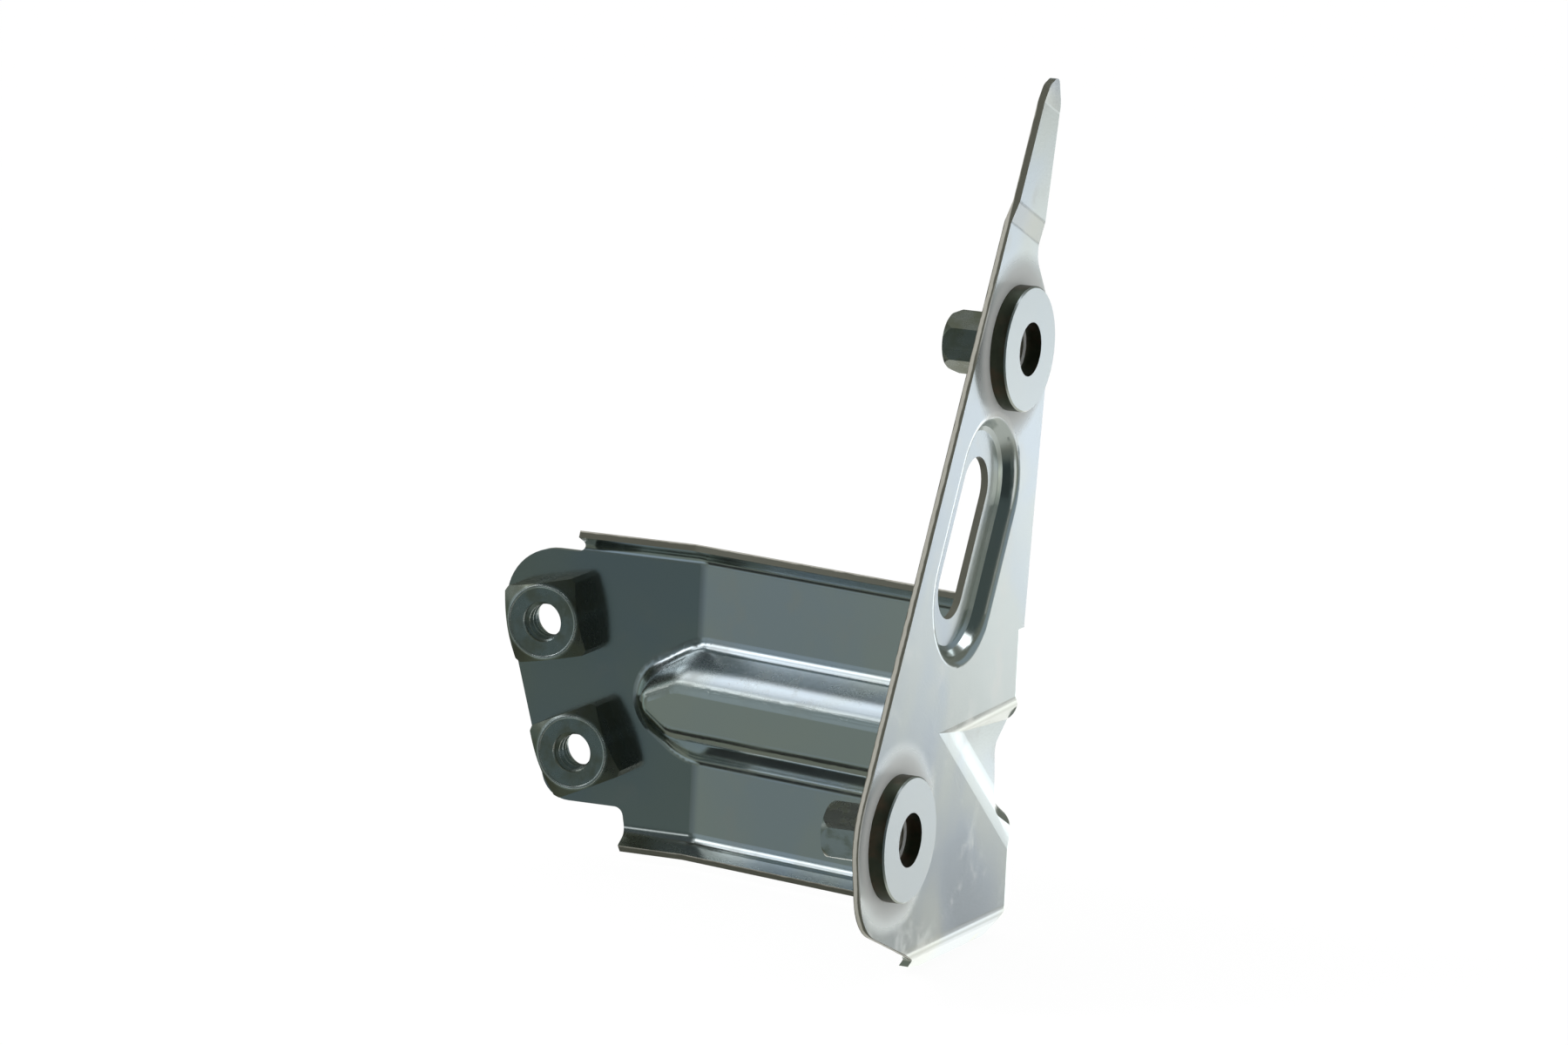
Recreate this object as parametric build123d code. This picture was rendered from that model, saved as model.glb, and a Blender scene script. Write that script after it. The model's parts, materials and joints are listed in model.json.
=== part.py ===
from build123d import *
from math import cos, radians, sin, tan
import os

# Lengths are in millimetres and angles in degrees. X = 0 is the inner face of
# the side plate, +X is its outward normal, +Z is up, and the X axis is the axis
# of the lower side hole.

# The sheet and its two upright bends
sheet = 1.2
corner_inner_radius = 4.4
kink_inner_radius = 6.0
corner_y = 48.33
web_angle = 12.0
pad_angle = 3.0
web_length = 63.9
flat_top = 26.0
flat_bottom = -19.0

# The turned lips: how far each is bent, its inner bend radius and its straight
arm_lip_angle = 65.0
arm_lip_inner_radius = 2.2
arm_lip_straight = 2.4
plate_lip_angle = 40.0
plate_lip_inner_radius = 3.0
plate_lip_straight = 3.9
top_lip_corner_gap = 1.0

# The raised bead that runs from the pad through the corner
bead_height = 8.6
bead_wall_draft = 30.0
bead_flat_top = 7.8
bead_flat_bottom = -1.3
bead_nose_past_kink = 8.6
bead_nose_z = 3.6
bead_nose_radius = 2.2
bead_shoulder_radius = 6.0
bead_ridge_radius = 3.0
bead_root_radius = 2.6

# The dent beside the bead's mouth: the side plate bends inwards along two lines
dent_start = (20.0, 13.3)
dent_stop = (44.7, -6.6)
dent_brow = (46.6, 14.2)
dent_angle = 8.2
dent_radius = 36.0
dent_brow_angle = 34.0
dent_brow_radius = 3.0
dent_reach = 47.0

# The side plate
hole_pitch = 81.5
hole_line_tilt = 27.3
lobe_radius = 13.4
lobe_lower_radius = 9.5
side_hole_radius = 3.6
tip_above_upper_hole = 41.8

# The joggle below the tip and the curl at the very end
joggle_step = 0.6
joggle_start = 98.5
joggle_run = 3.6
joggle_tilt = 22.6
curl_start = 119.0
curl_angle = 6.0
curl_bend_radius = 4.0

# The recess in the side plate and the slot through its floor
recess_half_width = 10.9
recess_length = 17.6
recess_middle = 50.4
recess_offset = 3.3
recess_depth = 2.4
recess_draft = 35.0
recess_rim_radius = 2.2
recess_floor_radius = 0.9
slot_half_width = 4.9
slot_length = 16.9

# The spacers outside the side plate and the long hexagon nuts behind it
spacer_radius = 10.0
spacer_thickness = 2.6
spacer_hole_radius = 4.3
spacer_chamfer = 0.25
side_nut_flats = 8.8
side_nut_length = 10.1
side_nut_bore_radius = 2.5
side_nut_upper_turn = 32.0
side_nut_lower_turn = 15.0
side_nut_end_drop = 2.0
side_nut_end_step = 0.6

# The two square weld nuts on the pad at the end of the arm
arm_nut_flats = 12.9
arm_nut_corner_radius = 8.6
arm_nut_height = 6.5
arm_nut_bore_radius = 3.4
arm_nut_face_radius = 6.27
arm_nut_chamfer_angle = 30.0
arm_nut_upper_turn = 12.0
arm_nut_lower_turn = 25.0
arm_hole_radius = 4.5
arm_nut_upper = (26.0, 14.7)
arm_nut_lower = (19.7, -6.6)

# The pad outline, measured along the pad from the kink
pad_end = 35.3
pad_top_corner_radius = 9.0
pad_side_z = 15.0
pad_side_radius = 12.0
pad_foot = 26.5
pad_foot_radius = 5.0
pad_bottom = -16.3
top_lip_end = 21.3
bottom_lip_end = 13.0
bottom_lip_slant = 1.6
lip_end_radius = 1.6

web_direction = Vector(-cos(radians(web_angle)), sin(radians(web_angle)), 0)
web_normal = Vector(-sin(radians(web_angle)), -cos(radians(web_angle)), 0)
pad_direction = Vector(-cos(radians(pad_angle)), -sin(radians(pad_angle)), 0)
pad_normal = Vector(sin(radians(pad_angle)), -cos(radians(pad_angle)), 0)
corner_point = Vector(0, corner_y, 0)
kink_point = corner_point + web_direction * web_length
corner_turn = 90 - web_angle
kink_turn = web_angle + pad_angle
corner_tangent = corner_inner_radius * tan(radians(corner_turn / 2))
kink_tangent = kink_inner_radius * tan(radians(kink_turn / 2))
upper_hole = (hole_pitch * sin(radians(hole_line_tilt)), hole_pitch * cos(radians(hole_line_tilt)))
lower_hole = (0.0, 0.0)
working_span = 400.0
room_reach = 180.0
room_height = 90.0


def inner_side(origin, normal):
    """The half of space behind a plane."""
    face = Plane(origin=origin, z_dir=normal)
    aligned = (Align.CENTER, Align.CENTER, Align.MAX)
    return face * Box(working_span, working_span, working_span, align=aligned)


def nearest_upright(shape, point):
    """The vertical edge closest to a point seen from above."""
    uprights = [edge for edge in shape.edges() if abs(edge.tangent_at(0.5).Z) > 0.99]
    return min(uprights, key=lambda edge: Vector(
        edge.center().X - point.X, edge.center().Y - point.Y, 0).length)


def bead_block():
    """The bead as a block with a flat top, sloping walls and a rounded ridge."""
    nose = web_length + bead_nose_past_kink
    top = Plane(
        origin=corner_point + web_normal * bead_height,
        x_dir=web_direction, z_dir=-web_normal)
    with BuildSketch() as outline:
        with BuildLine():
            FilletPolyline(
                (-40, bead_flat_top),
                (web_length - 1.0, bead_flat_top),
                (nose, bead_nose_z),
                (web_length + 0.5, bead_flat_bottom),
                (-40, bead_flat_bottom),
                radius=[bead_shoulder_radius, bead_nose_radius, bead_shoulder_radius])
            Line((-40, bead_flat_bottom), (-40, bead_flat_top))
        make_face()
    block = extrude(top * outline.sketch, amount=bead_height + 6, taper=-bead_wall_draft)
    ridge = []
    for edge in block.edges():
        place = top.to_local_coords(edge.center())
        if abs(place.Z) < 0.001 and place.X > -38:
            ridge.append(edge)
    return block.fillet(bead_ridge_radius, ridge)


def inner_room():
    """The space inside the bracket, bounded by the inner face of the sheet."""
    room = inner_side(Vector(0, 0, 0), Vector(1, 0, 0))
    room = room & inner_side(corner_point, -web_normal)
    room = room & inner_side(kink_point, -pad_normal)
    room = room & Pos(-55, 20, 0) * Box(room_reach, room_reach, room_height)
    room = room.fillet(corner_inner_radius, [nearest_upright(room, corner_point)])
    room = room.fillet(kink_inner_radius, [nearest_upright(room, kink_point)])
    bead = bead_block()
    room_skin = Compound(room.faces())
    bead_skin = Compound(bead.faces())
    cut = (room - bead).solids().sort_by(SortBy.VOLUME)[-1]
    root = []
    for edge in cut.edges():
        marks = [Vertex(*edge.position_at(share)) for share in (0.1, 0.5, 0.9)]
        on_room = max(room_skin.distance_to(mark) for mark in marks)
        on_bead = max(bead_skin.distance_to(mark) for mark in marks)
        if on_room < 0.001 and on_bead < 0.001:
            root.append(edge)
    return cut.fillet(bead_root_radius, root)


def wide_bend(first, second, angle, radius, thickness):
    """The space beyond the side plate where it bends inwards along a line."""
    along = (second - first).normalized()
    inward = Vector(1, 0, 0).cross(along)
    half_turn = tan(radians(angle / 2))
    fold = (thickness * half_turn, thickness)
    far_end = (dent_reach, thickness - (dent_reach - fold[0]) * tan(radians(angle)))
    with BuildSketch(Plane(origin=first, x_dir=inward, z_dir=along)) as section:
        with BuildLine():
            FilletPolyline((-dent_reach, thickness), fold, far_end, radius=radius + thickness)
            Polyline(
                far_end, (dent_reach, dent_reach), (-dent_reach, dent_reach), (-dent_reach, thickness))
        make_face()
    space = extrude(section.sketch, amount=2 * dent_reach, both=True)
    return space & inner_side(first - inward * radius * half_turn, -inward)


def dent_room(thickness):
    """The space beyond the shallow dent, which two wide bends enclose."""
    start, stop, brow = [Vector(0, *mark) for mark in (dent_start, dent_stop, dent_brow)]
    space = Pos(0, dent_reach / 2, 0) * Box(dent_reach / 4, dent_reach, dent_reach)
    space = space & wide_bend(start, stop, dent_angle, dent_radius, thickness)
    return space & wide_bend(brow, start, dent_brow_angle, dent_brow_radius, thickness)


def folded_strip():
    """The flat height of the sheet from the side plate round to the pad."""
    room = inner_room()
    outside = offset(room, amount=sheet, kind=Kind.INTERSECTION) - dent_room(sheet)
    room = room - dent_room(0)
    height = flat_top - flat_bottom
    band = Pos(-45, 20, flat_bottom + height / 2) * Box(130, 140, height)
    return (outside - room) & band


def lip_face(station, start_z, side, angle, inner, straight):
    """The section of a turned lip, drawn across the sheet at a station."""
    turn = radians(angle)
    outer = inner + sheet
    away = (straight * sin(turn), side * straight * cos(turn))

    def on_bend(radius, bent):
        return (inner - radius * cos(bent), start_z + side * radius * sin(bent))

    inner_end = on_bend(inner, turn)
    outer_end = on_bend(outer, turn)
    with BuildSketch(station) as section:
        with BuildLine():
            ThreePointArc((0, start_z), on_bend(inner, turn / 2), inner_end)
            Polyline(
                inner_end,
                (inner_end[0] + away[0], inner_end[1] + away[1]),
                (outer_end[0] + away[0], outer_end[1] + away[1]),
                outer_end)
            ThreePointArc(outer_end, on_bend(outer, turn / 2), (-sheet, start_z))
            Line((-sheet, start_z), (0, start_z))
        make_face()
    return section.sketch


def arm_lip_face(station, start_z, side):
    return lip_face(station, start_z, side, arm_lip_angle, arm_lip_inner_radius, arm_lip_straight)


def plate_lip_face(station):
    return lip_face(
        station, flat_bottom, -1, plate_lip_angle, plate_lip_inner_radius, plate_lip_straight)


def plate_station(y):
    return Plane(origin=(0, y, 0), x_dir=(-1, 0, 0), z_dir=(0, 1, 0))


def web_station(along):
    return Plane(origin=corner_point + web_direction * along, x_dir=web_normal, z_dir=web_direction)


def pad_station(along):
    return Plane(origin=kink_point + pad_direction * along, x_dir=pad_normal, z_dir=pad_direction)


def arm_lip(start_z, side, web_start, pad_stop):
    """A lip that follows the web, the kink and the pad."""
    web_stop = web_length - kink_tangent
    web_run = extrude(arm_lip_face(web_station(web_start), start_z, side), amount=web_stop - web_start)
    centre = kink_point - web_direction * kink_tangent + web_normal * kink_inner_radius
    round_kink = revolve(
        arm_lip_face(web_station(web_stop), start_z, side),
        axis=Axis(centre, (0, 0, 1)), revolution_arc=kink_turn)
    pad_run = extrude(
        arm_lip_face(pad_station(kink_tangent), start_z, side), amount=pad_stop - kink_tangent)
    return web_run + round_kink + pad_run


def plate_lip(plate_start):
    """The shallower bottom lip of the side plate, which steepens round the corner."""
    plate_stop = corner_y - corner_tangent
    section = plate_lip_face(plate_station(plate_stop))
    plate_run = extrude(section, amount=plate_start - plate_stop)
    centre = Vector(-corner_inner_radius, plate_stop, flat_bottom)
    path = Edge.make_circle(
        corner_inner_radius, Plane(centre, x_dir=(1, 0, 0), z_dir=(0, 0, 1)),
        start_angle=0, end_angle=corner_turn)
    round_corner = sweep(
        [section, arm_lip_face(web_station(corner_tangent), flat_bottom, -1)],
        path=path, multisection=True)
    return plate_run + round_corner


def pad_waste():
    """Everything cut away around the pad."""
    with BuildSketch() as waste:
        with Locations((35, 0)):
            Rectangle(60, 90)
        with BuildLine():
            FilletPolyline(
                (0, 60), (top_lip_end, 60), (top_lip_end, flat_top), (pad_end, flat_top),
                (pad_end, pad_side_z), (pad_foot, pad_bottom), (bottom_lip_end, pad_bottom),
                (bottom_lip_end - bottom_lip_slant, flat_bottom - 6), (0, flat_bottom - 6),
                radius=[0, lip_end_radius, pad_top_corner_radius, pad_side_radius,
                        pad_foot_radius, lip_end_radius, 0])
            Line((0, flat_bottom - 6), (0, 60))
        make_face(mode=Mode.SUBTRACT)
    face = Plane(origin=kink_point, x_dir=pad_direction, z_dir=-pad_normal)
    return extrude(face * waste.sketch, amount=12, both=True)


def plate_outline():
    """The side plate seen along the hole axes, as a sketch in Y and Z."""
    uy, uz = upper_hole
    tip_z = uz + tip_above_upper_hole
    with BuildSketch() as outline:
        with BuildLine():
            FilletPolyline(
                (-1.045 * lobe_radius, 0.18 * lobe_radius),
                (-0.824 * lobe_radius, -0.967 * lobe_radius),
                (12.0, flat_bottom - 3.1),
                (13.2, flat_bottom - 4.6),
                (22.0, flat_bottom - 6.0),
                (26.0, flat_bottom - 12.0),
                (corner_y + 22, flat_bottom - 12.0),
                (corner_y + 22, flat_top),
                (corner_y - 1.4, flat_top),
                (corner_y - 0.1, flat_top + 16.0),
                (uy + 1.048 * lobe_radius, uz + 0.246 * lobe_radius),
                (uy + 6.87, uz + 13.5),
                (uy + 11.7, tip_z - 4.6),
                (uy + 9.4, tip_z + 0.6),
                (uy + 6.6, tip_z - 0.6),
                radius=[lobe_radius, lobe_lower_radius, 1.5, 1.0, 8.0, 0, 0, 0, 0,
                        25.0, lobe_radius, 4.0, 4.5, 1.3, 1.6],
                close=True)
        make_face()
    return outline.sketch


def plate_upper():
    """The side plate above the web, with its joggle and the curled tip."""
    tilt = radians(joggle_tilt)
    profile = Plane(origin=(0, 0, 0), x_dir=(0, sin(tilt), cos(tilt)), z_dir=(0, cos(tilt), -sin(tilt)))
    middle = sheet / 2
    step = middle + joggle_step
    tip = 140.0
    with BuildSketch() as section:
        with BuildLine():
            FilletPolyline(
                (5, middle), (joggle_start, middle), (joggle_start + joggle_run, step),
                (curl_start, step), (tip, step + (tip - curl_start) * tan(radians(curl_angle))),
                radius=[curl_bend_radius, curl_bend_radius, curl_bend_radius])
        trace(line_width=sheet)
    folded = extrude(profile * section.sketch, amount=90, both=True)
    on_base = (Align.CENTER, Align.CENTER, Align.MIN)
    above = Pos(0, 0, flat_top) * Box(working_span, working_span, working_span, align=on_base)
    prism = extrude(Plane.YZ * plate_outline(), amount=10, both=True)
    return folded & prism & above


def plate_waste():
    """Everything cut away around the lower part of the side plate."""
    with BuildSketch() as zone:
        with Locations((-8, 0)):
            Rectangle(96, 80)
        add(plate_outline(), mode=Mode.SUBTRACT)
    return extrude(Plane((-4, 0, 0), x_dir=(0, 1, 0), z_dir=(1, 0, 0)) * zone.sketch, amount=8, both=True)


def recess_place(offset_x):
    tilt = radians(hole_line_tilt)
    y = recess_middle * sin(tilt) + recess_offset * cos(tilt)
    z = recess_middle * cos(tilt) - recess_offset * sin(tilt)
    return Plane(
        origin=(offset_x, y, z),
        x_dir=(0, sin(tilt), cos(tilt)), z_dir=(-1, 0, 0))


def stadium(length, half_width):
    return SlotCenterToCenter(length, 2 * half_width)


def add_recess(plate):
    """Press the recess into the side plate and cut the slot in its floor."""
    draft = radians(recess_draft)
    half_bend = tan((radians(90) - draft) / 2)
    mouth = recess_place(sheet) * stadium(recess_length, recess_half_width)
    pocket = extrude(mouth, amount=recess_depth, taper=recess_draft)
    floor_edge = pocket.faces().sort_by(Axis.X)[0].edges()
    pocket = pocket.chamfer(recess_floor_radius * half_bend, None, floor_edge)
    boss_half_width = recess_half_width + sheet / cos(draft) - sheet * tan(draft)
    boss_foot = recess_place(0) * stadium(recess_length, boss_half_width)
    boss = extrude(boss_foot, amount=recess_depth, taper=recess_draft)
    nose_edge = boss.faces().sort_by(Axis.X)[0].edges()
    boss = boss.chamfer((recess_floor_radius + sheet) * half_bend, None, nose_edge)
    plate = plate + boss
    foot = [edge for edge in plate.edges() if on_plane(edge, 0, boss_half_width)]
    plate = plate.chamfer((recess_rim_radius - sheet) * half_bend, None, foot)
    plate = plate - pocket
    rim = [edge for edge in plate.edges() if on_plane(edge, sheet, recess_half_width)]
    plate = plate.fillet(recess_rim_radius, rim)
    slot = extrude(recess_place(20) * stadium(slot_length, slot_half_width), amount=40)
    return plate - slot


def on_plane(edge, x, half_width):
    """True for an edge of a stadium of this half width lying at this X."""
    place = recess_place(x)
    for share in (0.0, 0.37, 0.5, 1.0):
        mark = place.to_local_coords(edge.position_at(share))
        beyond = max(abs(mark.X) - recess_length / 2, 0)
        away = (beyond ** 2 + mark.Y ** 2) ** 0.5
        if abs(mark.Z) > 0.001 or abs(away - half_width) > 0.01:
            return False
    return True


def side_cylinder(hole, radius, start, length):
    place = Plane(origin=(start, hole[0], hole[1]), x_dir=(0, 1, 0), z_dir=(1, 0, 0))
    return place * Cylinder(radius, length, align=(Align.CENTER, Align.CENTER, Align.MIN))


def pad_place(spot):
    return Plane(
        origin=kink_point + pad_direction * spot[0] + Vector(0, 0, spot[1]),
        x_dir=pad_direction, z_dir=pad_normal)


def bracket_pressing():
    """The one-piece pressed bracket."""
    lips = [
        arm_lip(flat_bottom, -1, corner_tangent, bottom_lip_end + 5),
        plate_lip(2.0),
        arm_lip(flat_top, 1, corner_tangent + top_lip_corner_gap, top_lip_end + 5),
    ]
    pressing = folded_strip() + lips + plate_upper()
    waste = [plate_waste(), pad_waste()]
    for hole in (lower_hole, upper_hole):
        waste.append(side_cylinder(hole, side_hole_radius, -5, 10))
    for spot in (arm_nut_upper, arm_nut_lower):
        waste.append(pad_place(spot) * Cylinder(arm_hole_radius, 10))
    pressing = pressing - waste
    pressing = add_recess(pressing)
    return pressing


def side_spacer(hole):
    """A round washer-like spacer on the outer face of the side plate."""
    ring = side_cylinder(hole, spacer_radius, sheet, spacer_thickness)
    ring = ring.chamfer(spacer_chamfer, None, [ring.edges().sort_by(Axis.X)[-1]])
    return ring - side_cylinder(hole, spacer_hole_radius, sheet - 1, spacer_thickness + 2)


def side_nut(hole, turn):
    """A long hexagon nut on the inner face; two chamfers round off its free end."""
    place = Plane(origin=(0, hole[0], hole[1]), x_dir=(0, 1, 0), z_dir=(-1, 0, 0))
    hexagon = RegularPolygon(side_nut_flats / 2, 6, major_radius=False, rotation=turn)
    nut = extrude(place * hexagon, amount=side_nut_length)
    corner_radius = side_nut_flats / 2 / cos(radians(30)) + 0.01
    with BuildSketch(Plane.XZ) as half:
        with BuildLine():
            Polyline(
                (0, 0), (corner_radius, 0), (corner_radius, side_nut_length - side_nut_end_drop),
                (corner_radius - side_nut_end_step, side_nut_length - side_nut_end_step),
                (corner_radius - side_nut_end_drop, side_nut_length), (0, side_nut_length), (0, 0))
        make_face()
    turned = revolve(half.sketch, axis=Axis.Z)
    bore = Cylinder(side_nut_bore_radius, 4 * side_nut_length)
    return (nut & place * turned) - place * bore


def arm_nut(spot, turn):
    """A square weld nut on the pad, with a round chamfered face."""
    place = pad_place(spot)
    nut = extrude(place * Rectangle(arm_nut_flats, arm_nut_flats, rotation=turn), amount=arm_nut_height)
    drop = (arm_nut_corner_radius - arm_nut_face_radius) * tan(radians(arm_nut_chamfer_angle))
    on_base = (Align.CENTER, Align.CENTER, Align.MIN)
    turned = Cylinder(arm_nut_corner_radius, arm_nut_height - drop, align=on_base)
    turned = turned + Pos(0, 0, arm_nut_height - drop) * Cone(
        arm_nut_corner_radius, arm_nut_face_radius, drop, align=on_base)
    bore = Cylinder(arm_nut_bore_radius, 4 * arm_nut_height)
    return (nut & place * turned) - place * bore


def one_solid(shape):
    solids = shape.solids()
    if len(solids) != 1:
        raise ValueError(f"expected one solid, found {len(solids)}")
    return solids[0]


pieces = {
    "bracket_pressing": bracket_pressing(),
    "side_spacer_upper": side_spacer(upper_hole),
    "side_spacer_lower": side_spacer(lower_hole),
    "side_nut_upper": side_nut(upper_hole, side_nut_upper_turn),
    "side_nut_lower": side_nut(lower_hole, side_nut_lower_turn),
    "arm_nut_upper": arm_nut(arm_nut_upper, arm_nut_upper_turn),
    "arm_nut_lower": arm_nut(arm_nut_lower, arm_nut_lower_turn),
}

os.makedirs("parts", exist_ok=True)
for name, shape in pieces.items():
    export_step(one_solid(shape), f"parts/{name}.step")
    print(name, "written")
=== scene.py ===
import bpy, bmesh, json
from math import cos, pi, radians, sin
from mathutils import Matrix, Vector


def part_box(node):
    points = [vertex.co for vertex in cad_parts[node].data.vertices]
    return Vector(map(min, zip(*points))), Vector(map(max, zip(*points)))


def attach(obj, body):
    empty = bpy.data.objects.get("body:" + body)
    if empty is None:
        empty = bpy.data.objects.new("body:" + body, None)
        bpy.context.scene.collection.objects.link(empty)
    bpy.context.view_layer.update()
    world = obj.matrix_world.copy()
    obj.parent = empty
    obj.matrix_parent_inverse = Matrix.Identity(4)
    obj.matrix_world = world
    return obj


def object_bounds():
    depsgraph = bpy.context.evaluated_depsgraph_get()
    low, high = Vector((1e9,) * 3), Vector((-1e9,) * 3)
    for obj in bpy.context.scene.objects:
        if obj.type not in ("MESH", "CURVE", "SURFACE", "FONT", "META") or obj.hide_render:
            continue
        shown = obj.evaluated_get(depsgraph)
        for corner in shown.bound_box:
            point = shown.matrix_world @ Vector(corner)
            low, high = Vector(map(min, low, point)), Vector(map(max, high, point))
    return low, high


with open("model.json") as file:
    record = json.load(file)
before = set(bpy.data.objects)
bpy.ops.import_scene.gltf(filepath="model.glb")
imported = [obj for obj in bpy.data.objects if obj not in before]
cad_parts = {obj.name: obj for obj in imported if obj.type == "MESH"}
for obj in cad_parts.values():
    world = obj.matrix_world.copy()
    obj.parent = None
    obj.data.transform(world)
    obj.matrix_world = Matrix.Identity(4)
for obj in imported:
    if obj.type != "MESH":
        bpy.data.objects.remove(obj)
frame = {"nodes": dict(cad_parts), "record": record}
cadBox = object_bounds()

print("frame loaded:", len(frame["nodes"]), "nodes")

millimetre = 0.001
mountSpots = {mount["name"]: mount for mount in frame["record"]["mounts"]}


class Wire:
    # An output socket that can be used in a Python expression of single values.
    def __init__(self, desk, socket):
        self.desk = desk
        self.socket = socket

    def maths(self, operation, first, second=0.0):
        return self.desk.node("ShaderNodeMath", {"operation": operation}, {0: first, 1: second})

    def __add__(self, other):
        return self.maths("ADD", self, other)

    def __radd__(self, other):
        return self.maths("ADD", other, self)

    def __sub__(self, other):
        return self.maths("SUBTRACT", self, other)

    def __rsub__(self, other):
        return self.maths("SUBTRACT", other, self)

    def __mul__(self, other):
        return self.maths("MULTIPLY", self, other)

    def __rmul__(self, other):
        return self.maths("MULTIPLY", other, self)

    def __truediv__(self, other):
        return self.maths("DIVIDE", self, other)

    def __pow__(self, other):
        return self.maths("POWER", self, other)

    def __gt__(self, other):
        return self.maths("GREATER_THAN", self, other)

    def __lt__(self, other):
        return self.maths("LESS_THAN", self, other)

    def __abs__(self):
        return self.maths("ABSOLUTE", self)


class NodeDesk:
    # One node tree, with the few helpers that every finish here is built from.
    def __init__(self, tree):
        self.tree = tree
        tree.nodes.clear()

    def node(self, kind, settings=None, inputs=None, output=0):
        made = self.tree.nodes.new(kind)
        for name, value in (settings or {}).items():
            setattr(made, name, value)
        for name, value in (inputs or {}).items():
            if isinstance(value, Wire):
                self.tree.links.new(value.socket, made.inputs[name])
            else:
                made.inputs[name].default_value = value
        return Wire(self, made.outputs[output]) if len(made.outputs) else made

    def vector(self, operation, first, second=(0.0, 0.0, 0.0), output="Vector"):
        inputs = {0: first, 1: second}
        return self.node("ShaderNodeVectorMath", {"operation": operation}, inputs, output)

    def larger(self, first, second):
        return self.node("ShaderNodeMath", {"operation": "MAXIMUM"}, {0: first, 1: second})

    def place(self):
        return self.node("ShaderNodeTexCoord", output="Object")

    def facing(self):
        return self.node("ShaderNodeNewGeometry", output="True Normal")

    def split(self, vector):
        made = self.node("ShaderNodeSeparateXYZ", inputs={0: vector})
        outputs = made.socket.node.outputs
        return [Wire(self, outputs[axis]) for axis in "XYZ"]

    def noise(self, vector, scale, detail=3.0, roughness=0.55, distortion=0.0):
        return self.node("ShaderNodeTexNoise", inputs={
            "Vector": vector, "Scale": scale, "Detail": detail,
            "Roughness": roughness, "Distortion": distortion})

    def ease(self, value, low, high):
        # A soft step from 0 at the first limit to 1 at the second.
        return self.node(
            "ShaderNodeMapRange", {"interpolation_type": "SMOOTHSTEP"},
            {"Value": value, "From Min": low, "From Max": high})

    def blend(self, factor, first, second):
        # Colours keep their hue here, as a Math node would turn them grey.
        settings = {"data_type": "RGBA", "clamp_factor": True}
        inputs = {0: factor}
        for key, colour in ((6, first), (7, second)):
            inputs[key] = colour if isinstance(colour, Wire) else (*colour, 1.0)
        return self.node("ShaderNodeMix", settings, inputs, output=2)

    def bump(self, height, distance, under=None):
        inputs = {"Height": height, "Distance": distance}
        if under is not None:
            inputs["Normal"] = under
        return self.node("ShaderNodeBump", inputs=inputs)

    def surface(self, inputs):
        shader = self.node("ShaderNodeBsdfPrincipled", inputs=inputs)
        self.node("ShaderNodeOutputMaterial", inputs={"Surface": shader})


def newFinish(name):
    material = bpy.data.materials.new(name)
    material.use_nodes = True
    return material, NodeDesk(material.node_tree)


def dress(node, material):
    # A CAD node keeps its mesh and gets the finish in each of its slots.
    piece = frame["nodes"][node]
    if not piece.material_slots:
        piece.data.materials.append(material)
    for place in piece.material_slots:
        place.material = material


def between(value, low, high):
    return (value > low) * (value < high)


# A noise is given as its scale, detail, roughness and distortion. A spread is where a mask
# starts and where it is full.
zincSheet = {
    "blue": (0.60, 0.65, 0.68),
    "green": (0.65, 0.68, 0.64),
    "haze": (0.68, 0.68, 0.64),
    "hazeShare": 0.5,
    "patchNoise": (38.0, 2.0, 0.5, 0.6),
    "patchSpread": (0.38, 0.62),
    "hazeNoise": (120.0, 4.0, 0.62),
    "hazeSpread": (0.52, 0.72),
    "grainNoise": (2600.0, 2.0, 0.6),
    "grainDepth": 0.000003,
    "waveNoise": (26.0, 1.0, 0.4),
    "waveDepth": 0.00006,
    "roughness": 0.17,
    "patchRoughness": 0.08,
    "hazeRoughness": 0.06,
    "grainRoughness": 0.05,
}


def plateFinish():
    # Bright zinc on pressed steel, with sheared rims that show a pale and a dark band. A painted
    # reflection tint lies on the bead's crown, and a painted pale sheen rings each spacer.
    look = zincSheet
    material, desk = newFinish("platedSheet")
    place = desk.place()
    x, y, z = desk.split(place)
    patches = desk.noise(place, *look["patchNoise"])
    haze = desk.ease(desk.noise(place, *look["hazeNoise"]), *look["hazeSpread"])
    grain = desk.noise(place, *look["grainNoise"])
    crown = beadCrown(desk, x, y)
    slope, rounding = beadSlope(desk, x, y, z)
    shear, torn = shearedRims(desk, place)
    sheenRing = spacerSheenRing(desk, x, y, z)

    colour = desk.blend(desk.ease(patches, *look["patchSpread"]), look["blue"], look["green"])
    colour = desk.blend(haze * look["hazeShare"], colour, look["haze"])
    # Painted reflection: a warmer tint on the bead's crown.
    colour = desk.blend(crown * beadShape["crownReflectionShare"], colour, beadShape["crownReflectionTint"])
    colour = desk.blend(shear, colour, cutRim["pale"])
    colour = desk.blend(torn, colour, cutRim["dark"])
    # Painted sheen: the plate is made pale and matt round each spacer.
    colour = desk.blend(sheenRing, colour, spacerSheenPaint["colour"])

    rough = (patches - 0.5) * look["patchRoughness"] + look["roughness"]
    rough = rough + haze * look["hazeRoughness"] + (grain - 0.5) * look["grainRoughness"]
    rough = rough + shear * cutRim["roughness"] + slope * beadShape["slopeRoughness"]
    rough = rough + sheenRing * spacerSheenPaint["roughness"]
    metal = (1.0 - shear * cutRim["matt"]) * (1.0 - sheenRing * spacerSheenPaint["matt"])

    rounded = desk.bump(rounding, beadShape["rounding"])
    wavy = desk.bump(desk.noise(place, *look["waveNoise"]), look["waveDepth"], under=rounded)
    fine = desk.bump(grain, look["grainDepth"], under=wavy)
    desk.surface({
        "Base Color": colour, "Metallic": metal, "Roughness": rough, "Normal": fine})
    return material


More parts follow.
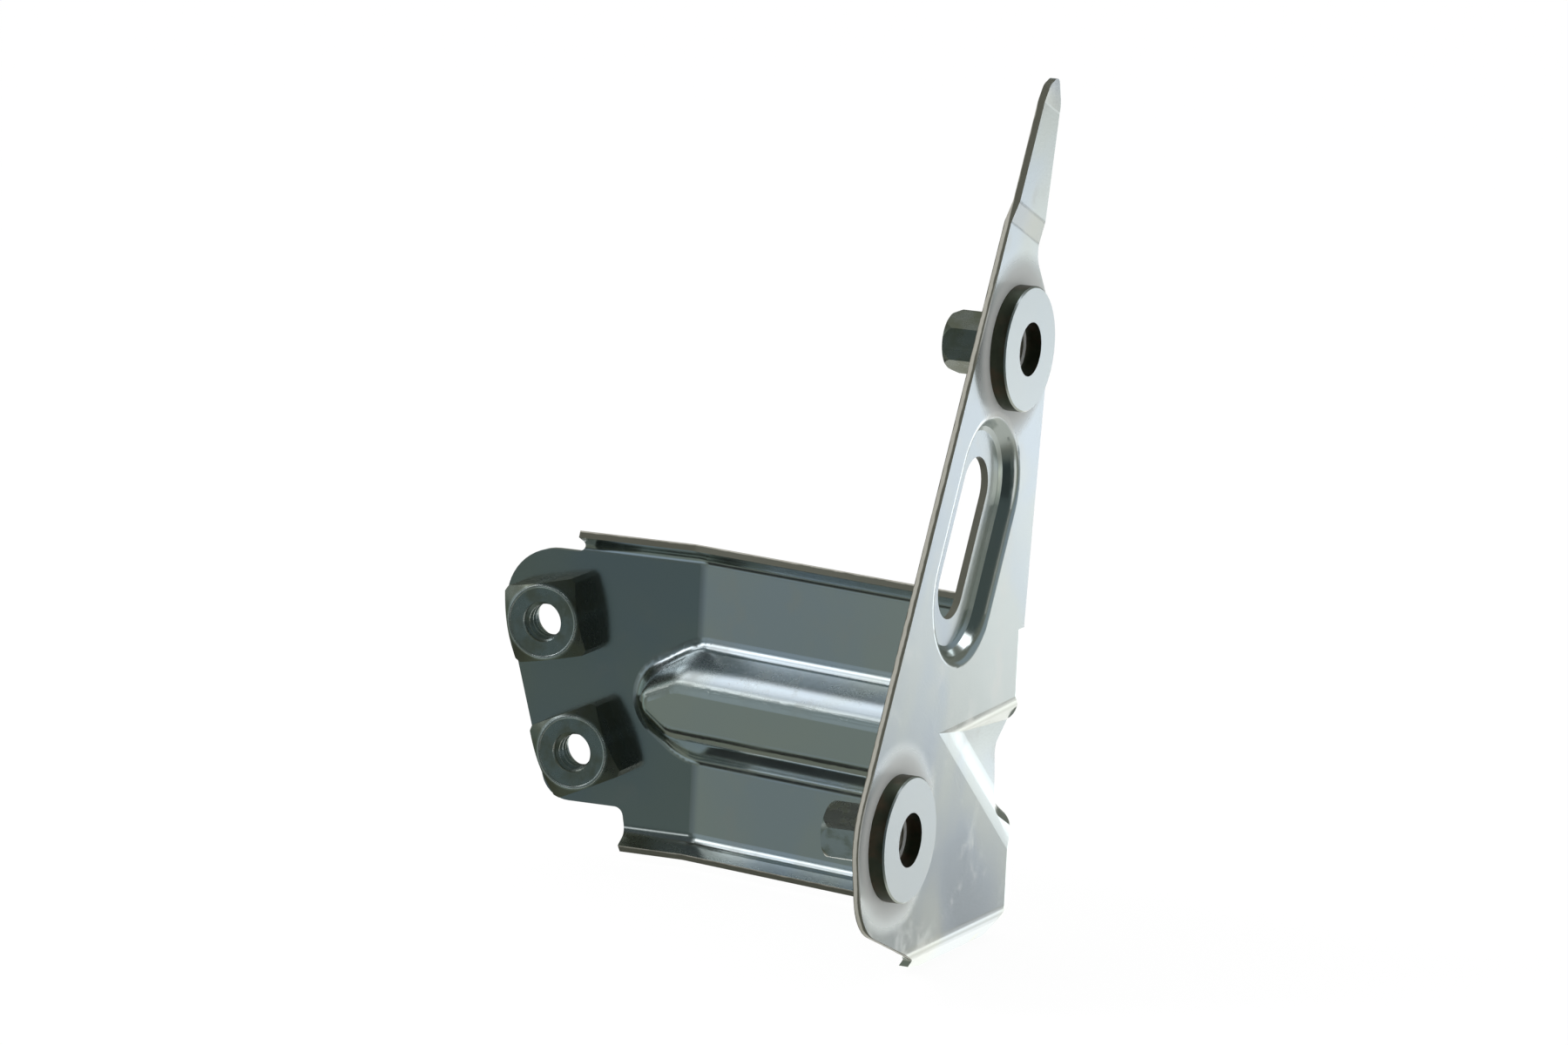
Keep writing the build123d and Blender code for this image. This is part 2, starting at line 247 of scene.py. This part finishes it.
# The bead's mask: heights are measured from the web's inner face, and a pair is where a mask
# starts and where it is full.
beadShape = {
    "webLean": 12.0,
    "cornerY": 0.04833,
    "armStart": -0.003,
    "armTop": 0.020,
    "top": 0.0090,
    # The crown's tint is a painted reflection.
    "crownReflectionTint": (0.66, 0.68, 0.60),
    "crownReflectionShare": 0.7,
    "crownStart": -0.001,
    "crownBelow": (0.0072, 0.0084),
    "crownAbove": (0.0100, 0.0090),
    "slopeRoughness": 0.10,
    "slopeFoot": (0.0012, 0.0030),
    "slopeLean": (0.35, 0.60),
    "rounding": 0.00060,
    "roundingFrom": 0.0040,
    "roundingRun": 0.0035,
    "roundingLean": (0.15, 0.40),
}


def aboveWeb(x, y):
    # How far a point stands out from the web's inner face.
    lean = radians(beadShape["webLean"])
    return (beadShape["cornerY"] - y) * cos(lean) - x * sin(lean)


def beadCrown(desk, x, y):
    # The flat crown of the bead, where a painted reflection tint is laid.
    height = aboveWeb(x, y)
    crown = desk.ease(height, *beadShape["crownBelow"]) * desk.ease(height, *beadShape["crownAbove"])
    return crown * (x < beadShape["crownStart"])


def beadSlope(desk, x, y, z):
    # The upper slope of the bead, and the height by which its upper part rounds into the crown.
    look = beadShape
    height = aboveWeb(x, y)
    nx, ny, nz = desk.split(desk.facing())
    arm = (height < look["top"]) * (x < look["armStart"]) * (z < look["armTop"])
    slope = desk.ease(height, *look["slopeFoot"]) * arm * desk.ease(nz, *look["slopeLean"])
    past = desk.larger(height - look["roundingFrom"], 0.0) / look["roundingRun"]
    drop = past ** 2.0 * arm * desk.ease(nz, *look["roundingLean"])
    return slope, -1.0 * drop


# The cut rims. Depths, heights and reaches are places in the frame; leans are parts of the
# face's direction.
cutRim = {
    "pale": (0.66, 0.64, 0.56),
    "dark": (0.15, 0.15, 0.115),
    "roughness": 0.30,
    "matt": 0.75,
    "sheet": 0.0012,
    "raggedNoise": (420.0, 2.0),
    "ragged": 0.30,
    "lipRagged": 0.001,
    "plateLean": 0.30,
    "plateDepth": (-0.0001, 0.0022),
    "plateReach": 0.0455,
    "tornOutside": (0.50, 0.66),
    "tornInside": (0.14, 0.02),
    "slotLean": 0.02,
    "slotDepth": (-0.0026, -0.0010),
    "slotHeight": (0.018, 0.066),
    "slotTorn": 0.95,
    "lipLean": (0.36, 0.48),
    "lipStart": -0.003,
    "topLip": 0.0286,
    "topTorn": (0.0300, 0.0298),
    "footLip": -0.0216,
    "footTorn": (-0.0220, -0.0223),
}


def shearedRims(desk, place):
    # The cut rims: side plate, slot and holes by their normal, and the lips' free rims.
    look = cutRim
    x, y, z = desk.split(place)
    nx, ny, nz = desk.split(desk.facing())
    ragged = (desk.noise(place, *look["raggedNoise"]) - 0.5) * look["ragged"]
    depth = x / look["sheet"] + ragged
    onArm = x < look["lipStart"]
    plateRim = (abs(nx) < look["plateLean"]) * between(x, *look["plateDepth"])
    plateRim = plateRim * (y < look["plateReach"])
    plateTorn = desk.ease(depth, *look["tornOutside"]) + desk.ease(depth, *look["tornInside"])
    slotRim = (abs(nx) < look["slotLean"]) * between(x, *look["slotDepth"])
    slotRim = slotRim * between(z, *look["slotHeight"])
    topRim = between(nz, *look["lipLean"]) * (z > look["topLip"]) * onArm
    footRim = between(-1.0 * nz, *look["lipLean"]) * (z < look["footLip"]) * onArm
    height = z + ragged * look["lipRagged"]
    topTorn = desk.ease(height, *look["topTorn"])
    footTorn = desk.ease(height, *look["footTorn"])
    shear = desk.larger(plateRim + slotRim, topRim + footRim)
    torn = plateRim * plateTorn + slotRim * look["slotTorn"]
    return shear, torn + topRim * topTorn + footRim * footTorn


# A pale, matt ring of painted sheen round each spacer on the plate.
spacerSheenPaint = {
    "colour": (0.80, 0.82, 0.80),
    "roughness": 0.34,
    "matt": 0.85,
    "ring": (0.0158, 0.0110),
    "outside": 0.001,
}


def spacerSheenRing(desk, x, y, z):
    # A pale matt ring of painted sheen on the plate round each spacer.
    sheenRing = 0.0
    for name in ("lower_side_thread", "upper_side_thread"):
        spot = mountSpots[name]["pos_m"]
        away = ((y - spot[1]) ** 2.0 + (z - spot[2]) ** 2.0) ** 0.5
        sheenRing = sheenRing + desk.ease(away, *spacerSheenPaint["ring"])
    return sheenRing * (x > spacerSheenPaint["outside"])


turnedSteel = {
    "face": (0.66, 0.69, 0.67),
    "faceBlue": (0.61, 0.66, 0.68),
    "mottleScale": 70.0,
    # The rim's dark colours are painted shade.
    "rim": (0.075, 0.085, 0.060),
    "rimBrown": (0.115, 0.090, 0.062),
    "rimLean": (0.75, 0.35),
    "stainScale": 210.0,
    "stainSpread": (0.42, 0.66),
    "roughness": 0.24,
    "rimRoughness": 0.16,
    "grainRoughness": 0.08,
    "grainNoise": (2600.0, 2.0),
    "grainDepth": 0.000004,
}


def spacerFinish():
    # The two spacers: pale turned faces, and a dull rim painted dark as shade.
    look = turnedSteel
    material, desk = newFinish("platedSpacer")
    place = desk.place()
    nx, ny, nz = desk.split(desk.facing())
    # The rim is painted dark as shade; a noise mottles it between grey and brown.
    rim = desk.ease(abs(nx), *look["rimLean"])
    stain = desk.ease(desk.noise(place, look["stainScale"]), *look["stainSpread"])
    rimColour = desk.blend(stain, look["rim"], look["rimBrown"])
    faceColour = desk.blend(
        desk.noise(place, look["mottleScale"]), look["face"], look["faceBlue"])
    grain = desk.noise(place, *look["grainNoise"])
    rough = look["roughness"] + rim * look["rimRoughness"]
    desk.surface({
        "Base Color": desk.blend(rim, faceColour, rimColour), "Metallic": 1.0,
        "Roughness": rough + (grain - 0.5) * look["grainRoughness"],
        "Normal": desk.bump(grain, look["grainDepth"])})
    return material


# The steel of the nuts: each has its colours, and all share how they are streaked and stained.
longNutSteel = {
    "base": (0.40, 0.42, 0.38),
    "olive": (0.24, 0.25, 0.17),
    "worn": (0.66, 0.68, 0.63),
    "stretch": (0.08, 1.0, 1.0),
    "roughness": 0.24,
}

weldNutSteel = {
    "base": (0.50, 0.56, 0.54),
    "olive": (0.34, 0.35, 0.26),
    "worn": (0.74, 0.77, 0.74),
    "stretch": (1.0, 1.0, 0.6),
    "roughness": 0.27,
    # corner is painted shade, laid on the square corners round the turned face.
    "corner": (0.17, 0.17, 0.11),
    "cornerShadeShare": 0.75,
    "cornerInside": (0.0062, 0.0066),
    "cornerOutside": (0.0120, 0.0115),
}

# Pale colours that paint a highlight on the rim of each weld nut's face.
highlightEdgeSteel = {
    "base": (0.82, 0.84, 0.80),
    "olive": (0.62, 0.63, 0.55),
    "worn": (0.92, 0.92, 0.90),
    "stretch": (1.0, 1.0, 1.0),
    "roughness": 0.24,
}

nutStreaks = {
    "scale": 900.0,
    "depth": 0.000010,
    "wornSpread": (0.60, 0.85),
    "wornShare": 0.5,
    "stainScale": 260.0,
    "stainSpread": (0.40, 0.68),
    "stainShare": 0.8,
    "streakRoughness": 0.14,
    "stainRoughness": 0.08,
}


def nutFinish(name, steel, mountNames=()):
    # Drawn or forged nut steel, with long streaks and duller stains; on the weld nuts, painted shade
    # darkens the corners round the turned face.
    look = nutStreaks
    material, desk = newFinish(name)
    place = desk.place()
    streaks = desk.noise(desk.vector("MULTIPLY", place, steel["stretch"]), look["scale"])
    stain = desk.ease(desk.noise(place, look["stainScale"]), *look["stainSpread"])
    worn = desk.ease(streaks, *look["wornSpread"])
    colour = desk.blend(stain * look["stainShare"], steel["base"], steel["olive"])
    colour = desk.blend(worn * look["wornShare"], colour, steel["worn"])
    # Painted shade on the square corners round each weld nut's face.
    for mountName in mountNames:
        away = fromAxis(desk, place, mountName)
        corner = desk.ease(away, *steel["cornerInside"]) * desk.ease(away, *steel["cornerOutside"])
        colour = desk.blend(corner * steel["cornerShadeShare"], colour, steel["corner"])
    rough = steel["roughness"] + (streaks - 0.5) * look["streakRoughness"]
    desk.surface({
        "Base Color": colour, "Metallic": 1.0,
        "Roughness": rough + stain * look["stainRoughness"],
        "Normal": desk.bump(streaks, look["depth"])})
    return material


def fromAxis(desk, place, mountName):
    # How far a point is from the axis of a mount.
    mount = mountSpots[mountName]
    offset = desk.vector("SUBTRACT", place, mount["pos_m"])
    turned = desk.vector("CROSS_PRODUCT", offset, mount["axis"])
    return desk.vector("LENGTH", turned, output="Value")


dress("bracket_pressing", plateFinish())
spacerMaterial = spacerFinish()
nutMaterial = nutFinish("platedNut", longNutSteel)
weldNutMaterial = nutFinish(
    "platedWeldNut", weldNutSteel, ("arm_upper_thread", "arm_lower_thread"))
# The rim of each weld nut's face gets pale colours as a painted highlight.
highlightEdgeMaterial = nutFinish("highlightNutEdge", highlightEdgeSteel)
for level in ("upper", "lower"):
    dress("side_spacer_" + level, spacerMaterial)
    dress("side_nut_" + level, nutMaterial)
    dress("arm_nut_" + level, weldNutMaterial)
print("finishes set")


boreNodes = {
    "lower_side_thread": "side_nut_lower",
    "upper_side_thread": "side_nut_upper",
    "arm_upper_thread": "arm_nut_upper",
    "arm_lower_thread": "arm_nut_lower",
}


def boreFrame(mountName):
    # A bore's axis, where the bore starts on it, and two directions across it.
    mount = mountSpots[mountName]
    axis = Vector(mount["axis"]).normalized()
    spot = Vector(mount["pos_m"])
    low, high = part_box(boreNodes[mountName])
    middle = (Vector(low) + Vector(high)) / 2
    if (middle - spot).dot(axis) <= 0:
        spot = spot - axis * mount["dims"]["length_mm"] * millimetre
    side = axis.orthogonal().normalized()
    return axis, spot, side, axis.cross(side)


def newPiece(name, mesh, material):
    bmesh.ops.recalc_face_normals(mesh, faces=mesh.faces)
    data = bpy.data.meshes.new(name)
    mesh.to_mesh(data)
    mesh.free()
    data.materials.append(material)
    piece = bpy.data.objects.new(name, data)
    bpy.context.scene.collection.objects.link(piece)
    return piece


def joinRings(mesh, rings):
    # A skin of four-sided faces between each ring of points and the next.
    for first, second in zip(rings, rings[1:]):
        for index in range(len(first)):
            following = (index + 1) % len(first)
            mesh.faces.new((first[index], first[following], second[following], second[index]))


# The shares are parts of the pitch, and endRun is in turns.
thread = {
    "stepsPerTurn": 40,
    "startShare": 0.6,
    "endRun": 0.75,
    "leastRidge": 0.04,
    "sink": 0.00003,
    "sidePitch": 0.00100,
    "armPitch": 0.00125,
    "crestShare": 0.0625,
    "flankShare": 0.48,
    "heightShare": 0.50,
}


def threadRidge(name, mountName, material, pitch):
    # The ridge of an inside thread: a V that winds along the bore and fades at both ends.
    look = thread
    dims = mountSpots[mountName]["dims"]
    axis, start, side, other = boreFrame(mountName)
    boreRadius = dims["r_mm"] * millimetre
    turns = dims["length_mm"] * millimetre / pitch - 2 * look["startShare"]
    steps = int(turns * look["stepsPerTurn"])
    mesh = bmesh.new()
    rings = []
    for step in range(steps + 1):
        share = step / steps
        angle = 2 * pi * turns * share
        along = look["startShare"] * pitch + turns * pitch * share
        ends = min(share, 1 - share) * turns / look["endRun"]
        ridge = max(min(1.0, ends), look["leastRidge"])
        outward = side * cos(angle) + other * sin(angle)
        root = boreRadius + look["sink"]
        crest = boreRadius - look["heightShare"] * pitch * ridge
        flank = look["flankShare"] * pitch * ridge
        flat = look["crestShare"] * pitch * ridge
        profile = ((root, -flank), (crest, -flat), (crest, flat), (root, flank))
        rings.append([
            mesh.verts.new(start + axis * (along + offset) + outward * radius)
            for radius, offset in profile])
    joinRings(mesh, rings)
    mesh.faces.new(reversed(rings[0]))
    mesh.faces.new(rings[-1])
    piece = newPiece(name, mesh, material)
    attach(piece, "root")


for mountName, node in boreNodes.items():
    onSide = node.startswith("side")
    threadRidge(
        "thread_" + node, mountName,
        nutMaterial if onSide else weldNutMaterial,
        thread["sidePitch"] if onSide else thread["armPitch"])
print("threads cut")


nutEdge = {
    "radius": 0.00596,
    "halfWidth": 0.00028,
    "proud": 0.00014,
    "sink": 0.00003,
    "segments": 80,
    "arcSteps": 7,
}


def faceEdge(name, mountName):
    # The rounded rim of a weld nut's turned face, coloured pale as a painted highlight.
    look = nutEdge
    axis, middle, side, other = boreFrame(mountName)
    inner = look["radius"] - look["halfWidth"]
    outer = look["radius"] + look["halfWidth"]
    profile = [(outer, -look["sink"])]
    for step in range(look["arcSteps"]):
        angle = pi * step / (look["arcSteps"] - 1)
        profile.append((look["radius"] + look["halfWidth"] * cos(angle), look["proud"] * sin(angle)))
    profile.append((inner, -look["sink"]))
    mesh = bmesh.new()
    rings = []
    for segment in range(look["segments"]):
        angle = 2 * pi * segment / look["segments"]
        outward = side * cos(angle) + other * sin(angle)
        rings.append([mesh.verts.new(middle + outward * out - axis * rise) for out, rise in profile])
    joinRings(mesh, rings + rings[:1])
    piece = newPiece(name, mesh, highlightEdgeMaterial)
    piece.data.polygons.foreach_set("use_smooth", [True] * len(piece.data.polygons))
    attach(piece, "root")


faceEdge("face_edge_upper", "arm_upper_thread")
faceEdge("face_edge_lower", "arm_lower_thread")
print("nut faces edged")


studio = {
    "floorReach": 1.6,
    "floorSegments": 96,
    "floorColour": (0.80, 0.80, 0.79),
    "floorGlow": 1.06,
    "glowShare": 0.9,
    "fill": 0.60,
    "room": (0.170, 0.184, 0.160),
}

cardTints = {
    "white": (1.00, 1.01, 1.00),
    "daylight": (0.94, 1.00, 1.06),
    "wall": (0.82, 1.01, 1.13),
    "slate": (0.78, 1.06, 1.07),
    "ground": (0.93, 1.09, 0.94),
    "paper": (1.02, 1.04, 0.92),
}

# Soft cards round the object, each hung over the ones before it: azimuth from +Y towards +X,
# elevation, roll, half the width, half the height and the soft edge, all in degrees, then how
# bright the card is and its tint.
studioCards = {
    "below": (-176, -30, -37, 53, 39, 9, 0.205, "ground"),
    "table": (7, -29, -2, 39, 20, 3, 1.67, "white"),
    "tableRight": (28, -53, -6, 35, 25, 9, 0.55, "paper"),
    "tableGlare": (-5, -28, 17, 9, 2, 3, 1.36, "white"),
    "darkWall": (45, 7, 37, 20, 17, 2, 0.31, "wall"),
    "tableStain": (23, -15, -8, 4, 6.5, 1.5, 0.07, "paper"),
    "rightStrip": (78, -11, 12, 1.5, 15, 6, 0.83, "ground"),
    "rightDark": (161, 29, -26, 63, 70, 10, 0.075, "slate"),
    "behindRight": (150, -3, 19, 28, 29, 2, 0.04, "slate"),
    "rightWindow": (89, -7, -7, 10, 18, 4, 0.90, "white"),
    "lowRight": (159, -22, 1, 4, 9, 2, 0.95, "white"),
    "overhead": (42, 58, -15, 16, 10, 1.5, 2.53, "daylight"),
    "windowTop": (-86, 52, 11, 20, 5.5, 3, 2.25, "daylight"),
    "window": (-121, 37, -17, 5, 14, 4, 2.65, "daylight"),
    "skylight": (-100, 51, 1, 5, 2, 3, 1.32, "daylight"),
    "ceilingDark": (-113, 61, -1, 10, 7, 1.5, 0.055, "paper"),
    "ceiling": (-151, 44, 20, 27, 9, 9, 0.07, "wall"),
    "leftStrip": (-103, -7, -8, 7, 32, 2, 0.305, "slate"),
    "webLight": (-129, 20, 12, 3.5, 4, 3.5, 0.58, "wall"),
    "innerLight": (-111, 13, 36, 1.5, 9, 5, 1.06, "daylight"),
    "dentLight": (17, -10, 5, 6, 2.5, 2, 1.97, "daylight"),
    "frontLeft": (-133, 3, -19, 8.5, 12.5, 9, 0.365, "wall"),
    "padWall": (-167, -8, 38, 5, 10, 4, 0.12, "slate"),
    "lowLeftLight": (-151, -40, 0, 14, 8, 1.5, 0.39, "wall"),
    "lowSlope": (-115, -35, 18, 10, 9, 2, 0.015, "white"),
    "leftEnd": (-162, 15, 0, 4, 5, 3, 1.20, "daylight"),
    "beadLight": (-128, -22, 4, 6, 3, 2, 0.30, "wall"),
    "leftShade": (-147, -16, 5, 7, 6, 4, 0.19, "wall"),
}


def layFloor():
    # A pale floor under the object: white to the camera, and it keeps a faint shadow.
    low, high = cadBox
    mesh = bmesh.new()
    bmesh.ops.create_circle(
        mesh, cap_ends=True, segments=studio["floorSegments"], radius=studio["floorReach"])
    data = bpy.data.meshes.new("floor")
    mesh.to_mesh(data)
    mesh.free()
    floor = bpy.data.objects.new("floor", data)
    floor.location = ((low[0] + high[0]) / 2, (low[1] + high[1]) / 2, low[2])
    bpy.context.scene.collection.objects.link(floor)
    material, desk = newFinish("studioFloor")
    paint = desk.node("ShaderNodeBsdfDiffuse", inputs={"Color": (*studio["floorColour"], 1.0)})
    glow = desk.node("ShaderNodeEmission", inputs={"Strength": studio["floorGlow"]})
    seen = desk.node("ShaderNodeLightPath", output="Is Camera Ray")
    both = desk.node("ShaderNodeMixShader", inputs={0: seen * studio["glowShare"], 1: paint, 2: glow})
    desk.node("ShaderNodeOutputMaterial", inputs={"Surface": both})
    data.materials.append(material)
    floor.visible_glossy = False


def heading(azimuth, elevation):
    turn, rise = radians(azimuth), radians(elevation)
    return Vector((sin(turn) * cos(rise), cos(turn) * cos(rise), sin(rise)))


def along(desk, way, direction):
    return desk.vector("DOT_PRODUCT", way, direction, output="Value")


def cardMask(desk, way, azimuth, elevation, roll, halfWidth, halfHeight, edge):
    # How much of a card a direction meets: 1 on the card, 0 past its soft edge.
    front = heading(azimuth, elevation)
    level = heading(azimuth + 90, 0)
    tilt = radians(roll)
    aside = level * cos(tilt) + level.cross(front) * sin(tilt)
    upward = level.cross(front) * cos(tilt) - level * sin(tilt)
    soft = sin(radians(edge))
    mask = along(desk, way, front) > 0.0
    for direction, half in ((aside, halfWidth), (upward, halfHeight)):
        reach = sin(radians(half))
        away = abs(along(desk, way, direction))
        mask = mask * desk.ease(away, reach + soft, max(reach - soft, 0.0))
    return mask


def hangWorld():
    # White behind the object for the camera, and a studio of pale and dark walls for the metal.
    world = bpy.data.worlds.new("studio")
    bpy.context.scene.world = world
    world.use_nodes = True
    desk = NodeDesk(world.node_tree)
    way = desk.node("ShaderNodeTexCoord", output="Generated")
    room = studio["room"]
    for *shape, brightness, tint in studioCards.values():
        colour = tuple(brightness * part for part in cardTints[tint])
        room = desk.blend(cardMask(desk, way, *shape), room, colour)
    white = (1.0, 1.0, 1.0, 1.0)
    rays = desk.node("ShaderNodeLightPath")
    outputs = rays.socket.node.outputs
    camera = Wire(desk, outputs["Is Camera Ray"])
    glossy = Wire(desk, outputs["Is Glossy Ray"])
    studioWalls = desk.node("ShaderNodeBackground", inputs={"Color": room, "Strength": 1.0})
    softFill = desk.node(
        "ShaderNodeBackground", inputs={"Color": white, "Strength": studio["fill"]})
    whiteWalls = desk.node("ShaderNodeBackground", inputs={"Color": white, "Strength": 1.0})
    lit = desk.node("ShaderNodeMixShader", inputs={0: glossy, 1: softFill, 2: studioWalls})
    whole = desk.node("ShaderNodeMixShader", inputs={0: camera, 1: lit, 2: whiteWalls})
    desk.node("ShaderNodeOutputWorld", inputs={"Surface": whole})


keyLamp = {
    "azimuth": -117,
    "elevation": 38,
    "distance": 0.9,
    "size": (0.26, 0.40),
    "power": 2.0,
}


def hangKeyLamp():
    look = keyLamp
    lamp = bpy.data.lights.new("keyLamp", "AREA")
    lamp.shape = "RECTANGLE"
    lamp.size, lamp.size_y = look["size"]
    lamp.energy = look["power"]
    holder = bpy.data.objects.new("keyLamp", lamp)
    towards = heading(look["azimuth"], look["elevation"])
    holder.location = towards * look["distance"]
    holder.rotation_euler = towards.to_track_quat("Z", "Y").to_euler()
    holder.visible_glossy = False  # the metal shows the cards instead
    bpy.context.scene.collection.objects.link(holder)


layFloor()
hangWorld()
hangKeyLamp()
print("studio lit")


cameraView = {
    "azimuth": 24.647,
    "elevation": 10.167,
    "roll": -2.723,
    "distance": 1.2429,
    "focalPixels": 8894.9,
    "pictureWidth": 1800,
    "pictureHeight": 1200,
    "sensorWidth": 36.0,
    "aimPoint": (0.0012, 0.04601, -0.00801),
    "aimPixel": (1160.25, 960.02),
    "clip": (0.01, 20.0),
}


def placeCamera():
    view = cameraView
    turn, rise, roll = (radians(view[key]) for key in ("azimuth", "elevation", "roll"))
    towards = Vector((sin(turn) * cos(rise), -cos(turn) * cos(rise), sin(rise)))
    level = Vector((cos(turn), sin(turn), 0.0))
    upright = towards.cross(level)
    right = level * cos(roll) - upright * sin(roll)
    above = upright * cos(roll) + level * sin(roll)
    perPixel = view["distance"] / view["focalPixels"]
    across = (view["aimPixel"][0] - view["pictureWidth"] / 2) * perPixel
    below = (view["aimPixel"][1] - view["pictureHeight"] / 2) * perPixel
    spot = Vector(view["aimPoint"]) + towards * view["distance"] - right * across + above * below
    data = bpy.data.cameras.new("camera")
    data.sensor_width = view["sensorWidth"]
    data.lens = view["focalPixels"] / view["pictureWidth"] * view["sensorWidth"]
    data.clip_start, data.clip_end = view["clip"]
    camera = bpy.data.objects.new("camera", data)
    pose = Matrix((right, above, towards)).transposed().to_4x4()
    pose.translation = spot
    camera.matrix_world = pose
    bpy.context.scene.collection.objects.link(camera)
    bpy.context.scene.camera = camera


placeCamera()
bpy.context.scene.view_settings.view_transform = "Standard"
print("camera placed")
